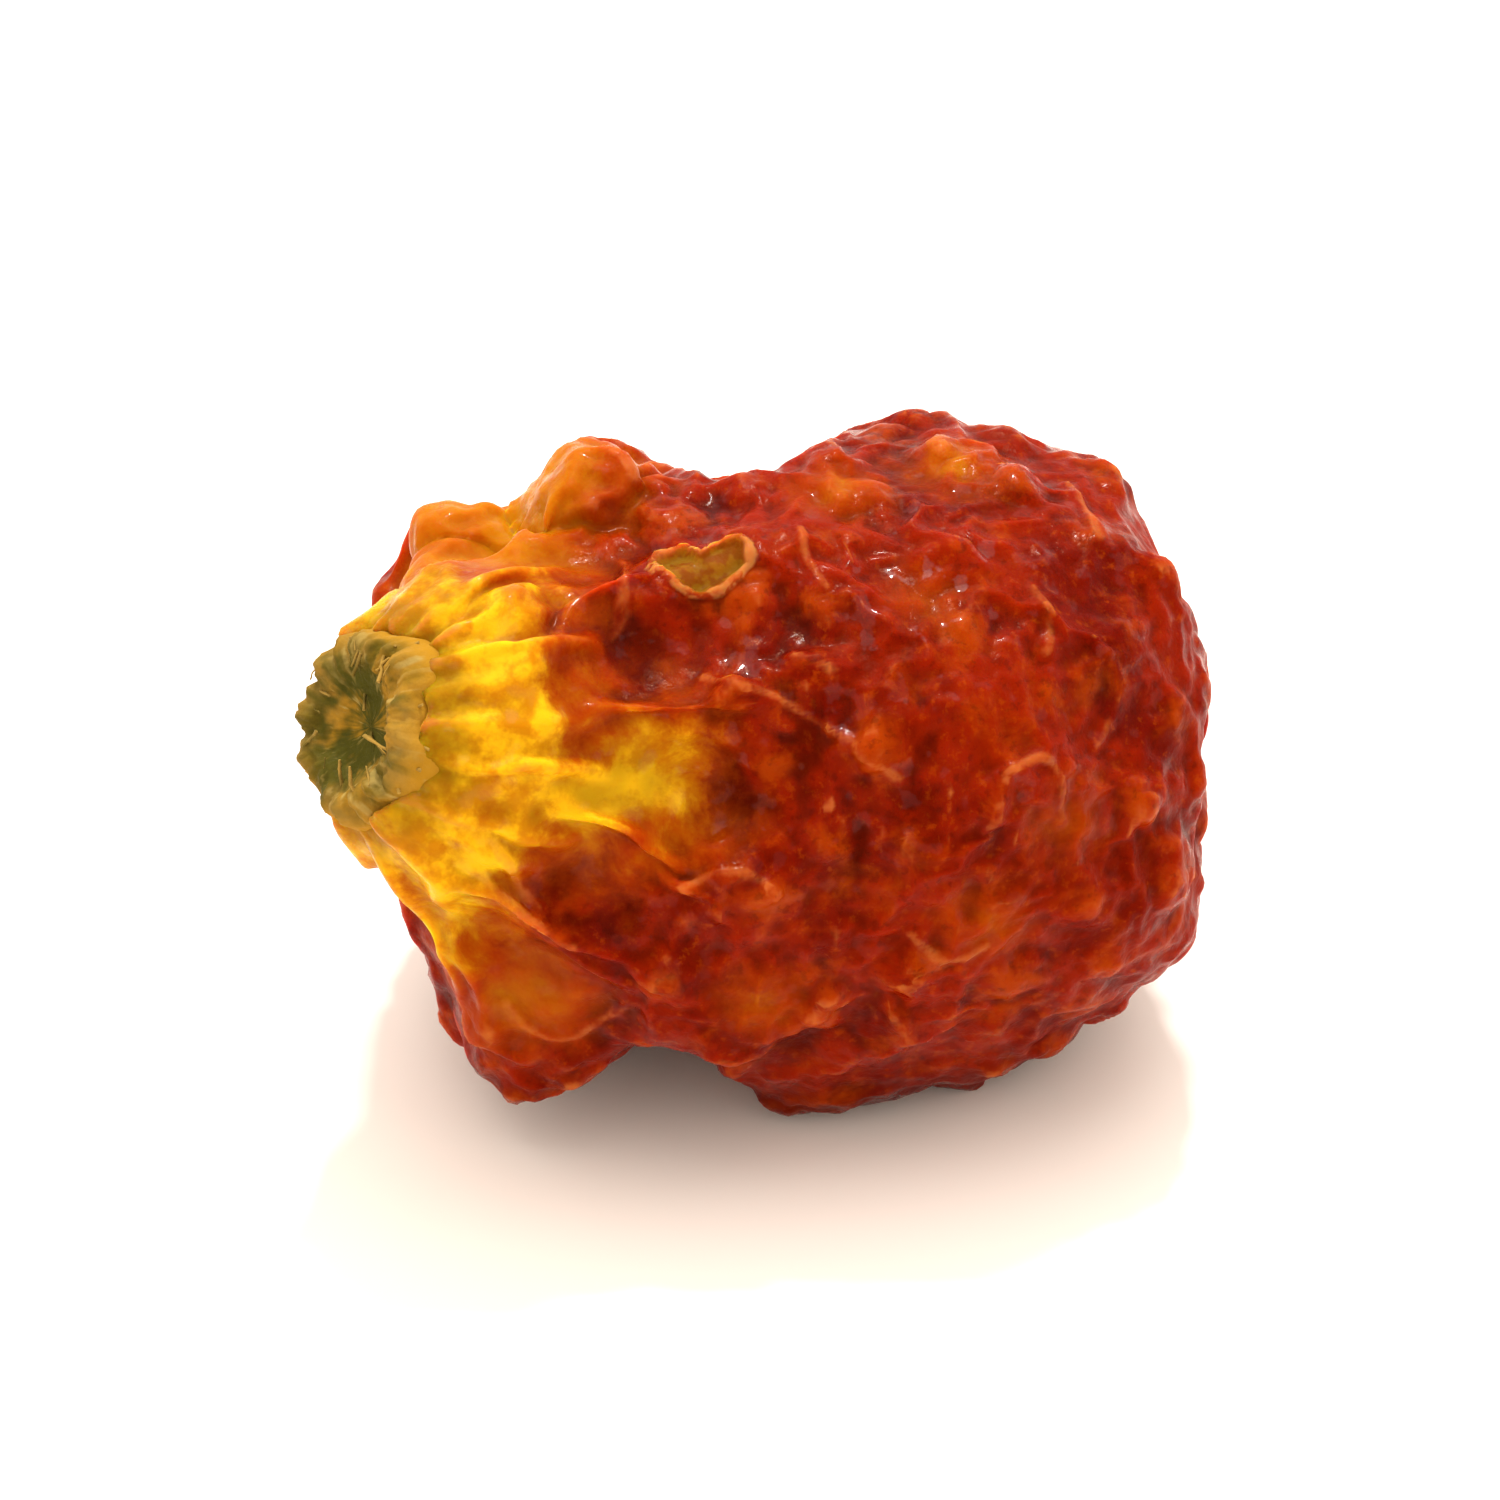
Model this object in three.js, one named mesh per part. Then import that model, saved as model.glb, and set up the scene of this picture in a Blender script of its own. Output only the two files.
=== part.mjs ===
// A dried goldenberry, the dried fruit of a Physalis plant, lying on its side.
// Lengths are in millimetres and angles in degrees. +X runs from the stalk end to the
// far end, -Y is the near side and +Z is up. The origin lies on the surface that the
// berry rests on, under the middle of the whole berry.
//
// The fruit is one closed body: a blunt barrel whose skin has shrunk into lumps, hollows,
// folds and, round the stalk, ribs. The stub of the stalk is a rough woody knob of its
// own, seated in a shallow socket at one end.

import * as THREE from 'three';
import { mergeVertices } from 'three/addons/utils/BufferGeometryUtils.js';

// Driving dimensions of the fruit, before its skin shrinks
const stalkEndLength = 7.5;
const farEndLength = 8.5;
const fruitHalfWidth = 6.25;
const fruitHalfHeight = 6.05;
const stalkEndBluntness = 2.2;
const farEndBluntness = 3.1;
const restDepth = 5.5;
const restRounding = 0.35;
const skinFineness = 14;

// Driving dimensions of the stalk stub and the socket that it sits in
const stubRadius = 1.75;
const stubHeight = 1.4;
const stubTurn = 26;
const stubLift = 25;
const socketDepth = 7.85;
const socketRadius = 2.1;
const socketRim = 1.3;
const seatGap = 0.12;
const stubSides = 30;

// Ribs that run out from the stalk over the shoulder of the fruit
const ribCount = 10;
const ribHeight = 0.3;
const ribStart = 2.4;
const ribStartFade = 0.6;
const ribReach = 6.2;
const ribEndFade = 2.2;
const ribWander = 0.35;

// Folds of the shrunken skin over the rest of the fruit: waves that run these ways over it
const foldHeight = 0.13;
const foldSpacing = 3.1;
const foldWander = 1.5;
const foldWays = [
  new THREE.Vector3(0.9, 0.4, 0),
  new THREE.Vector3(0, -0.6, 0.8),
  new THREE.Vector3(0.5, 0, -0.8),
];

// Swellings and hollows of the skin. Each lies so far along the fruit from its middle, and
// so far around it, where 0 is the near side and 90 the top. Its height is negative where
// the skin sinks in.
const swellings = [
  { along: -5.3, around: 121, spread: 1.5, height: 0.75 },
  { along: -2.4, around: 120, spread: 1.6, height: 0.7 },
  { along: -4.05, around: 122, spread: 0.75, height: -0.85 },
  { along: -7.5, around: 160, spread: 2.4, height: -1.3 },
  { along: -7.6, around: -50, spread: 1.9, height: -0.9 },
  { along: 0.3, around: 120, spread: 1.5, height: -1.55 },
  { along: 2.8, around: 122, spread: 2.0, height: 0.4 },
  { along: 6.2, around: 118, spread: 2.1, height: 0.65 },
  { along: 7.9, around: 70, spread: 2.2, height: 0.5 },
  { along: -4.3, around: -46, spread: 1.7, height: 0.85 },
  { along: -2.1, around: -40, spread: 0.9, height: -0.9 },
  { along: -2.1, around: -60, spread: 1.15, height: -2.4 },
  { along: -2.5, around: -82, spread: 1.1, height: -1.5 },
  { along: 1.3, around: -56, spread: 2.0, height: 0.6 },
  { along: 5.4, around: -58, spread: 2.6, height: 0.45 },
  { along: 3.4, around: 40, spread: 2.4, height: 0.35 },
  { along: -0.9, around: 28, spread: 1.6, height: -0.4 },
  { along: 7.2, around: -20, spread: 1.9, height: 0.4 },
  { along: 1.8, around: 182, spread: 2.6, height: -0.9 },
  { along: -3.2, around: 196, spread: 2.1, height: 0.6 },
  { along: 5.2, around: 158, spread: 1.9, height: 0.4 },
  { along: 4.9, around: 222, spread: 2.2, height: 0.45 },
  { along: -0.6, around: 232, spread: 1.7, height: -0.6 },
];

const skinColour = 0xa83a0c;
const stubColour = 0x8a7a3c;

const radians = THREE.MathUtils.degToRad;

// The way that the stalk points, out of the middle of the fruit
const stalkWay = new THREE.Vector3(
  -Math.cos(radians(stubTurn)) * Math.cos(radians(stubLift)),
  -Math.sin(radians(stubTurn)) * Math.cos(radians(stubLift)),
  Math.sin(radians(stubLift)),
);

const stalkEnd = { length: stalkEndLength, bluntness: stalkEndBluntness };
const farEnd = { length: farEndLength, bluntness: farEndBluntness };

function endAt(x) {
  return x < 0 ? stalkEnd : farEnd;
}

// Where a line from the middle of the fruit leaves the unshrunken barrel
function barrelPoint(way) {
  const { length, bluntness } = endAt(way.x);
  const across = Math.hypot(way.y / fruitHalfWidth, way.z / fruitHalfHeight);
  const lengthwise = Math.abs(way.x) / length;
  const size = (lengthwise ** bluntness + across ** bluntness) ** (-1 / bluntness);
  return way.clone().multiplyScalar(size);
}

// The point of the barrel so far along it and so far around it
function skinPoint(along, around) {
  const { length, bluntness } = endAt(along);
  const share = Math.min(Math.abs(along) / length, 1);
  const girth = (1 - share ** bluntness) ** (1 / bluntness);
  return new THREE.Vector3(
    along,
    -fruitHalfWidth * girth * Math.cos(radians(around)),
    fruitHalfHeight * girth * Math.sin(radians(around)),
  );
}

// How far the swellings and hollows raise the skin at a point
function swellingHeight(point) {
  let height = 0;
  for (const swelling of swellings) {
    const centre = skinPoint(swelling.along, swelling.around);
    const share = point.distanceTo(centre) / swelling.spread;
    height += swelling.height * Math.exp(-share * share);
  }
  return height;
}

// Distance of a point from the line of the stalk, and the angle around that line
const stalkLevel = new THREE.Vector3(0, 0, 1).cross(stalkWay).normalize();
const stalkRise = stalkWay.clone().cross(stalkLevel);

function placeRoundStalk(point) {
  const level = point.dot(stalkLevel);
  const rise = point.dot(stalkRise);
  return { radius: Math.hypot(level, rise), angle: Math.atan2(rise, level) };
}

// Ribs fade in past the socket and die out over the shoulder, on the stalk's side only
function ribRise(point) {
  if (point.dot(stalkWay) < 0) {
    return 0;
  }
  const { radius, angle } = placeRoundStalk(point);
  const { smoothstep } = THREE.MathUtils;
  const start = smoothstep(radius, ribStart - ribStartFade, ribStart + ribStartFade);
  const end = 1 - smoothstep(radius, ribReach - ribEndFade, ribReach);
  const wander = ribWander * Math.sin(2 * angle + 1);
  return ribHeight * start * end * Math.cos(ribCount * angle + wander);
}

// Folds wander because each point is first shifted by slow waves of its own
function foldRise(point) {
  const turns = (2 * Math.PI) / foldSpacing;
  const shifted = new THREE.Vector3(
    point.x + foldWander * Math.sin(0.7 * point.y + 0.5 * point.z),
    point.y + foldWander * Math.sin(0.8 * point.z - 0.4 * point.x),
    point.z + foldWander * Math.sin(0.6 * point.x + 0.7 * point.y),
  );
  let sum = 0;
  for (const way of foldWays) {
    sum += Math.sin(turns * shifted.dot(way));
  }
  return (foldHeight * sum) / Math.sqrt(foldWays.length);
}

// The socket is a flat seat square to the stalk, with a rim that runs out into the skin
function seatInSocket(point) {
  const out = point.dot(stalkWay);
  if (out < 0) {
    return point;
  }
  const { radius } = placeRoundStalk(point);
  const free = THREE.MathUtils.smoothstep(radius, socketRadius, socketRadius + socketRim);
  const seatSize = socketDepth / out;
  return point.multiplyScalar(seatSize + (1 - seatSize) * free);
}

// The skin lies flat where it rests, and rounds up from there
function restOnGround(height) {
  if (height > restRounding) {
    return height;
  }
  return Math.max(height + restRounding, 0) ** 2 / (4 * restRounding);
}

function makeFruit() {
  const ball = new THREE.IcosahedronGeometry(1, skinFineness);
  ball.deleteAttribute('normal');
  ball.deleteAttribute('uv');
  const skin = mergeVertices(ball, 1e-5);
  const places = skin.getAttribute('position');
  for (let i = 0; i < places.count; i += 1) {
    const way = new THREE.Vector3().fromBufferAttribute(places, i).normalize();
    const point = barrelPoint(way);
    const rise = swellingHeight(point) + ribRise(point) + foldRise(point);
    point.addScaledVector(way, rise);
    seatInSocket(point);
    point.z = restOnGround(point.z + restDepth) - restDepth;
    places.setXYZ(i, point.x, point.y, point.z);
  }
  skin.computeVertexNormals();
  const material = new THREE.MeshStandardMaterial({
    color: skinColour,
    roughness: 0.35,
    metalness: 0,
  });
  const fruit = new THREE.Mesh(skin, material);
  fruit.name = 'dried_fruit';
  return fruit;
}

// Outline of the stub from the middle of its base, out, up its side, over its raised rim
// and into its sunken end, as [share of its radius, share of its height]
const stubOutline = [
  [0.5, 0],
  [0.86, 0],
  [0.98, 0.16],
  [1, 0.42],
  [0.97, 0.72],
  [0.87, 0.94],
  [0.72, 1],
  [0.56, 0.88],
  [0.43, 0.7],
  [0.3, 0.62],
  [0.18, 0.66],
  [0.08, 0.7],
];
const stubTip = 0.7;

// Unevenness of the stub, as waves round it whose heights are shares of its size: five
// corners, where the leaves of the husk were, and smaller waves of its side and its end
const huskCorners = { count: 5, height: 0.05, turn: 0.4 };
const sideWaves = { count: 8, height: 0.035, turn: 0.13 };
const endWaves = { count: 3, height: 0.09, turn: 2.37 };
const rimWaves = { count: 7, height: 0.05, turn: 1.57 };

function waveRise(wave, angle) {
  return wave.height * Math.cos(wave.count * angle + wave.turn);
}

function makeStub() {
  const places = [0, 0, 0];
  for (const [out, up] of stubOutline) {
    const level = Math.min(1, 0.3 + up);
    for (let side = 0; side < stubSides; side += 1) {
      const angle = (2 * Math.PI * side) / stubSides;
      const spread = waveRise(huskCorners, angle) + waveRise(sideWaves, angle);
      const radius = stubRadius * out * (1 + spread * level);
      const lift = waveRise(endWaves, angle) + waveRise(rimWaves, angle);
      const height = stubHeight * up * (1 + lift * out);
      places.push(radius * Math.cos(angle), radius * Math.sin(angle), height);
    }
  }
  const tip = places.length / 3;
  places.push(0, 0, stubHeight * stubTip);

  const corners = [];
  for (let side = 0; side < stubSides; side += 1) {
    const next = (side + 1) % stubSides;
    corners.push(0, 1 + next, 1 + side);
    for (let ring = 0; ring < stubOutline.length - 1; ring += 1) {
      const low = 1 + ring * stubSides;
      const high = low + stubSides;
      corners.push(low + side, low + next, high + next);
      corners.push(low + side, high + next, high + side);
    }
    const last = 1 + (stubOutline.length - 1) * stubSides;
    corners.push(last + side, last + next, tip);
  }

  const shape = new THREE.BufferGeometry();
  shape.setAttribute('position', new THREE.Float32BufferAttribute(places, 3));
  shape.setIndex(corners);
  shape.computeVertexNormals();
  const material = new THREE.MeshStandardMaterial({
    color: stubColour,
    roughness: 0.85,
    metalness: 0,
  });
  const stub = new THREE.Mesh(shape, material);
  stub.name = 'stalk_stub';
  stub.quaternion.setFromUnitVectors(new THREE.Vector3(0, 0, 1), stalkWay);
  stub.position.copy(stalkWay).multiplyScalar(socketDepth + seatGap);
  return stub;
}

const berry = new THREE.Group();
berry.add(makeFruit(), makeStub());

// Stand the berry on the origin, under the middle of its box
const box = new THREE.Box3().setFromObject(berry, true);
berry.position.set(-(box.min.x + box.max.x) / 2, -(box.min.y + box.max.y) / 2, -box.min.z);
berry.updateMatrixWorld(true);

export default berry;
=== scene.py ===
"""A dried goldenberry: its wrinkled skin, the stub of its stalk, and a stage to see it on.

The skin has grown too large for the pulp that shrank below it. A net of springs is laid on the
pulp, grown, and left to settle, so that its folds form as they do on the fruit.
"""

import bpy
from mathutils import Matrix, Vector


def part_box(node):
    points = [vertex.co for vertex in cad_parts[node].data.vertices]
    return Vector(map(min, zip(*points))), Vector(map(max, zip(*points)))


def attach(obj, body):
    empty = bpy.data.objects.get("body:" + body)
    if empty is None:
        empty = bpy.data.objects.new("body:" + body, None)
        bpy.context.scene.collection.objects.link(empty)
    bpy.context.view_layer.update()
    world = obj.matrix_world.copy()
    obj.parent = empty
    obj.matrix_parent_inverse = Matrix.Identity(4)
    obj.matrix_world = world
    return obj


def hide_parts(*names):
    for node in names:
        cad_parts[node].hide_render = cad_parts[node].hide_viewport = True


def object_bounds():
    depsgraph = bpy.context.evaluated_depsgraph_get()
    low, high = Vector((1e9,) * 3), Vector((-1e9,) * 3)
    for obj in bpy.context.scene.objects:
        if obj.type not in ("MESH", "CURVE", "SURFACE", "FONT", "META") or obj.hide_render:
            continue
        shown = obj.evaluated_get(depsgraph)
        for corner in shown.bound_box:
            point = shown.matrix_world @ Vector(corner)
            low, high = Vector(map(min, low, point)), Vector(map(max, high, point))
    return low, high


bl_info = {
    "name": "Dried Goldenberry",
    "version": (1, 0, 0),
    "blender": (4, 5, 0),
    "location": "3D View > Sidebar > Goldenberry",
    "description": "Makes a dried goldenberry with wrinkled skin and the stub of its stalk",
    "category": "Add Mesh",
}

import math
from typing import NamedTuple

import bpy
import numpy as np
from bpy.props import FloatProperty, FloatVectorProperty, IntProperty, PointerProperty
from mathutils import Vector
from mathutils.bvhtree import BVHTree

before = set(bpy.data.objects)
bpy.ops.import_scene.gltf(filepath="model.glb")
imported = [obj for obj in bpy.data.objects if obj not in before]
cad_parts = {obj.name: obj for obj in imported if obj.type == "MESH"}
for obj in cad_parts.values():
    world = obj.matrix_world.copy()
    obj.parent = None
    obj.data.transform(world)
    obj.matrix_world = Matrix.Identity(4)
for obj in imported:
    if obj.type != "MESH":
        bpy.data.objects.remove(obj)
CAD_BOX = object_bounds()

MM = 0.001
WHOLE_MIDDLE = (CAD_BOX[0] + CAD_BOX[1]) / 2
FRUIT_LOW, FRUIT_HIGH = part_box("dried_fruit")
FRUIT_HEART = (FRUIT_LOW + FRUIT_HIGH) / 2
FRUIT_HALF = (FRUIT_HIGH - FRUIT_LOW) / 2
STUB_LOW, STUB_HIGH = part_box("stalk_stub")
STUB_HEART = (STUB_LOW + STUB_HIGH) / 2


def stalk_way():
    """The way that the flat stub faces, out of the fruit."""
    corners = np.array([corner.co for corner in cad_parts["stalk_stub"].data.vertices])
    spread = corners - corners.mean(axis=0)
    way = Vector(np.linalg.svd(spread, full_matrices=False)[2][2])
    return way if way.dot(STUB_HEART - FRUIT_HEART) > 0 else -way


STALK_WAY = stalk_way()
STALK_LEVEL = Vector((0, 0, 1)).cross(STALK_WAY).normalized()
STALK_RISE = STALK_WAY.cross(STALK_LEVEL)
STUB_RADIUS = 1.75 * MM
STUB_HEIGHT = 1.4 * MM
# The socket's middle, and how far out from it the stub starts to let the skin go, and has
SOCKET = STUB_HEART - STALK_WAY * STUB_HEIGHT / 2
SOCKET_EDGE = 1.7 * MM
SOCKET_CLEAR = 2.4 * MM

# The main view, from the near side and above, turned a little to the stalk end
VIEW_TURN = math.radians(8)
VIEW_LIFT = math.radians(32)
VIEW_DISTANCE = 78 * MM
VIEW_WAY = Vector((
    -math.sin(VIEW_TURN) * math.cos(VIEW_LIFT),
    -math.cos(VIEW_TURN) * math.cos(VIEW_LIFT),
    math.sin(VIEW_LIFT),
))
VIEW_RIGHT = Vector((0, 0, 1)).cross(VIEW_WAY).normalized()
VIEW_UP = VIEW_WAY.cross(VIEW_RIGHT)
VIEW_POINT = WHOLE_MIDDLE + VIEW_WAY * VIEW_DISTANCE


# Settings that a user would change


def length(name, description, size, **more):
    return FloatProperty(
        name=name, description=description, default=size, unit="LENGTH", precision=5, **more
    )


def colour(name, description, *value):
    return FloatVectorProperty(
        name=name,
        description=description,
        default=(*value, 1),
        size=4,
        subtype="COLOR",
        min=0,
        max=1,
    )


def share(name, description, value):
    return FloatProperty(
        name=name, description=description, default=value, min=0, max=0.5, subtype="FACTOR"
    )


class FruitSettings(bpy.types.PropertyGroup):
    squares: IntProperty(
        name="Squares",
        description="Squares along each of the twelve edges of the skin's net",
        default=128,
        min=16,
        max=128,
    )
    broad_growth: share("Broad Growth", "How much longer the skin is, for its broad folds", 0.042)
    fine_growth: share("Fine Growth", "How much longer the skin is, for its wrinkles", 0.042)
    gathering: share("Gathering", "How much longer it is again round the stalk, for the ribs", 0.18)
    fine_gathering: share("Fine Gathering", "The same, for the wrinkles between the ribs", 0.1)
    rib_count: IntProperty(
        name="Rib Count", description="Ribs round the stalk", default=10, min=0, max=20
    )
    rib_reach: length("Rib Reach", "How far the ribs run from the stalk", 7 * MM)
    shrinking: length("Shrinking", "How deep the pulp lies below the fruit's outline", 0.2 * MM)
    dent_depth: length("Dent Depth", "Depth of the dents in the pulp", 0.33 * MM)
    seed_height: length("Seed Height", "How far the seeds push the skin out", 0.25 * MM)
    flesh: colour("Flesh", "Red orange of the body", 0.21, 0.0078, 0.0003)
    deep_flesh: colour("Deep Flesh", "Deeper red of the body", 0.12, 0.0025, 0.0002)
    # Used for random dark flecks, and as painted shade in the hollows and towards the bottom
    deep: colour("Hollow", "Dark red of the hollows", 0.0432, 0.0014, 0.0002)
    # Used for random light flecks and orange spots, and as a painted glow on the seeds, crests and
    # knobs
    orange_and_painted_glow: colour("Glow", "Orange where the skin is thin or lies on a seed", 0.32, 0.038, 0.0006)
    shoulder: colour("Shoulder", "Yellow of the skin round the stalk", 0.7, 0.39, 0.006)
    amber: colour("Amber", "Amber between the yellow and the red", 0.45, 0.165, 0.002)
    # Drawn on the sharpest crests and along the creases: partly dry skin, partly a painted
    # highlight
    crest: colour("Crest", "Light orange of the dry crests of the folds", 0.46, 0.14, 0.03)
    olive: colour("Olive", "Olive brown in the yellow and in the scar", 0.216, 0.0936, 0.0029)
    scar: colour("Scar", "Tan rim of the scar", 0.42, 0.17, 0.04)


class StubSettings(bpy.types.PropertyGroup):
    fibre_height: length("Fibre Height", "Relief of the fibres", 0.07 * MM)
    tear_height: length("Tear Height", "Unevenness of the torn rim", 0.4 * MM)
    strand_length: length("Strand Length", "Length of the longest loose fibres", 0.5 * MM)
    strand_count: IntProperty(
        name="Strands", description="Loose fibres on the stub", default=18, min=0, max=400
    )
    pith: colour("Pith", "Pale flecks of the stub's fibres", 0.4, 0.28, 0.075)
    heart: colour("Heart", "Dark olive of the stub's middle", 0.062, 0.055, 0.004)
    fibre: colour("Fibre", "Tan of the stub's fibres", 0.29, 0.165, 0.028)
    bark: colour("Bark", "Brown of the stub's foot", 0.4, 0.19, 0.008)


class StageSettings(bpy.types.PropertyGroup):
    floor_colour: colour("Floor", "Colour of the floor", 0.95, 0.875, 0.79)
    sky_colour: colour("Sky", "Colour of the light from all round", 1, 0.92, 0.85)
    sky_strength: FloatProperty(
        name="Sky Strength", description="Strength of the light from all round", default=1.33, min=0
    )
    lens: FloatProperty(name="Lens", description="Focal length in mm", default=100, min=20)


# Nodes


class Wire:
    """A socket's value. A sum written on it adds the Math nodes that work it out."""

    def __init__(self, wiring, socket):
        self.wiring = wiring
        self.socket = socket

    def maths(self, operation, *others):
        settings = {"operation": operation}
        return self.wiring.node("ShaderNodeMath", settings, dict(enumerate((self, *others))))

    def __add__(self, other):
        return self.maths("ADD", other)

    __radd__ = __add__

    def __sub__(self, other):
        return self.maths("SUBTRACT", other)

    def __rsub__(self, other):
        return self * -1 + other

    def __mul__(self, other):
        return self.maths("MULTIPLY", other)

    __rmul__ = __mul__

    def __truediv__(self, other):
        return self.maths("DIVIDE", other)


class Wiring:
    """Adds nodes to one tree, and joins them as they are made."""

    def __init__(self, tree):
        self.tree = tree

    def node(self, kind, settings=None, sockets=None, out=0):
        made = self.tree.nodes.new(kind)
        for name, value in (settings or {}).items():
            setattr(made, name, value)
        for name, value in (sockets or {}).items():
            if isinstance(value, Wire):
                self.tree.links.new(value.socket, made.inputs[name])
            else:
                made.inputs[name].default_value = value
        return Wire(self, made.outputs[out])

    def vector(self, operation, *values, out=0):
        settings = {"operation": operation}
        return self.node("ShaderNodeVectorMath", settings, dict(enumerate(values)), out)

    def scaled(self, vector, size):
        settings = {"operation": "SCALE"}
        return self.node("ShaderNodeVectorMath", settings, {0: vector, "Scale": size})

    def dot(self, one, other):
        return self.vector("DOT_PRODUCT", one, other, out="Value")

    def distance(self, one, other):
        return self.vector("DISTANCE", one, other, out="Value")

    def parts(self, vector):
        split = self.node("ShaderNodeSeparateXYZ", None, {0: vector}).socket.node
        return [Wire(self, socket) for socket in split.outputs]

    def joined(self, x, y, z):
        return self.node("ShaderNodeCombineXYZ", None, {0: x, 1: y, 2: z})

    def smooth(self, value, low, high, start=0.0, end=1.0):
        """Runs smoothly from start, where value is low, to end, where it is high."""
        settings = {"interpolation_type": "SMOOTHSTEP"}
        return self.node(
            "ShaderNodeMapRange", settings, {0: value, 1: low, 2: high, 3: start, 4: end}
        )

    def mix(self, share, one, other):
        """A colour that is one at share 0 and other at share 1."""
        sockets = {0: share, 6: one, 7: other}
        return self.node("ShaderNodeMix", {"data_type": "RGBA"}, sockets, out=2)

    def noise(self, place, spacing, detail=2.0, roughness=0.5, shift=0.0, distortion=0.0):
        """Cloudy noise from 0 to 1 whose clouds lie about so far apart."""
        sockets = {
            "Vector": place,
            "W": shift,
            "Scale": 1 / spacing,
            "Detail": detail,
            "Roughness": roughness,
            "Distortion": distortion,
        }
        return self.node("ShaderNodeTexNoise", {"noise_dimensions": "4D"}, sockets)

    def stalk_parts(self, place):
        """A place's height over the socket along the stalk's line, how far it lies off that line,
        and the way from the line to it."""
        from_socket = self.vector("SUBTRACT", place, tuple(SOCKET))
        height = self.dot(from_socket, tuple(STALK_WAY))
        off = self.vector("SUBTRACT", from_socket, self.scaled(tuple(STALK_WAY), height))
        return height, self.vector("LENGTH", off, out="Value"), self.vector("NORMALIZE", off)

    def stalk_angle(self, place):
        """The angle of a place round the stalk."""
        from_socket = self.vector("SUBTRACT", place, tuple(SOCKET))
        rise = self.dot(from_socket, tuple(STALK_RISE))
        return rise.maths("ARCTAN2", self.dot(from_socket, tuple(STALK_LEVEL)))


INPUT_KINDS = {
    float: "NodeSocketFloat",
    bpy.types.Object: "NodeSocketObject",
    bpy.types.Material: "NodeSocketMaterial",
}


class ShapeWiring(Wiring):
    """Wiring of a Geometry Nodes tree, with an input for each value that it will be given."""

    def __init__(self, name, values):
        super().__init__(bpy.data.node_groups.new(name, "GeometryNodeTree"))
        face = self.tree.interface
        face.new_socket("Geometry", in_out="INPUT", socket_type="NodeSocketGeometry")
        face.new_socket("Geometry", in_out="OUTPUT", socket_type="NodeSocketGeometry")
        for label, value in values.items():
            face.new_socket(label, in_out="INPUT", socket_type=INPUT_KINDS[type(value)])
        self.source = self.tree.nodes.new("NodeGroupInput")
        self.sink = self.tree.nodes.new("NodeGroupOutput")

    def given(self, label):
        return Wire(self, self.source.outputs[label])

    def place(self):
        return self.node("GeometryNodeInputPosition")

    def facing(self):
        return self.node("GeometryNodeInputNormal")

    def stub_parts(self):
        """The parts of a place by the stalk, as shares of the stub's height and radius."""
        height, radius, outward = self.stalk_parts(self.place())
        return height / STUB_HEIGHT, radius / STUB_RADIUS, outward

    def thing(self, label):
        return self.node("GeometryNodeObjectInfo", None, {0: self.given(label)}, "Geometry")

    def store(self, geometry, name, value):
        settings = {"data_type": "FLOAT", "domain": "POINT"}
        sockets = {"Geometry": geometry, "Name": name, "Value": value}
        return self.node("GeometryNodeStoreNamedAttribute", settings, sockets)

    def stored(self, name):
        settings = {"data_type": "FLOAT"}
        return self.node("GeometryNodeInputNamedAttribute", settings, {"Name": name})

    def mean_place(self, rounds):
        sockets = {"Value": self.place(), "Iterations": rounds}
        return self.node("GeometryNodeBlurAttribute", {"data_type": "FLOAT_VECTOR"}, sockets)

    def how_near(self, geometry, element):
        settings = {"target_element": element}
        return self.node("GeometryNodeProximity", settings, {0: geometry}, out=1)

    def arc_distance(self, label):
        return self.how_near(self.thing(label), "EDGES")

    def put(self, geometry, place):
        return self.node("GeometryNodeSetPosition", None, {"Geometry": geometry, "Position": place})

    def move(self, geometry, offset):
        return self.node("GeometryNodeSetPosition", None, {"Geometry": geometry, "Offset": offset})

    def push(self, geometry, rise):
        """Moves a surface out by rise, along its normals."""
        return self.move(geometry, self.scaled(self.facing(), rise))

    def rise_over_mean(self, rounds):
        """How far each corner lies out of the mean place of the skin round it."""
        off = self.vector("SUBTRACT", self.place(), self.mean_place(rounds))
        return self.dot(off, self.facing())

    def finish(self, geometry):
        sockets = {"Geometry": geometry, "Shade Smooth": True}
        geometry = self.node("GeometryNodeSetShadeSmooth", None, sockets)
        geometry = self.node("GeometryNodeRealizeInstances", None, {"Geometry": geometry})
        sockets = {"Geometry": geometry, "Material": self.given("Material")}
        geometry = self.node("GeometryNodeSetMaterial", None, sockets)
        self.tree.links.new(geometry.socket, self.sink.inputs["Geometry"])
        return self.tree


def link_object(name, mesh):
    thing = bpy.data.objects.new(name, mesh)
    bpy.context.scene.collection.objects.link(thing)
    return thing


def bake_shape(name, start, make_tree, values):
    """A plain mesh of what the tree makes of the start mesh and the values."""
    maker = link_object(name + "_maker", start)
    modifier = maker.modifiers.new("shape", "NODES")
    modifier.node_group = make_tree(values)
    for item in modifier.node_group.interface.items_tree:
        if item.in_out == "INPUT" and item.name in values:
            modifier[item.identifier] = values[item.name]
    bpy.context.view_layer.update()
    shaped = maker.evaluated_get(bpy.context.evaluated_depsgraph_get())
    mesh = bpy.data.meshes.new_from_object(shaped)
    maker.modifiers.remove(modifier)
    bpy.data.objects.remove(maker)
    mesh.name = name
    return mesh


# The skin's net


# Turns the net until the middle of one side faces the near side's view, where its squares are
# the most even
NET_TURN = np.array((
    (1, 0, 0),
    (0, math.cos(VIEW_LIFT), -math.sin(VIEW_LIFT)),
    (0, math.sin(VIEW_LIFT), math.cos(VIEW_LIFT)),
))


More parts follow.
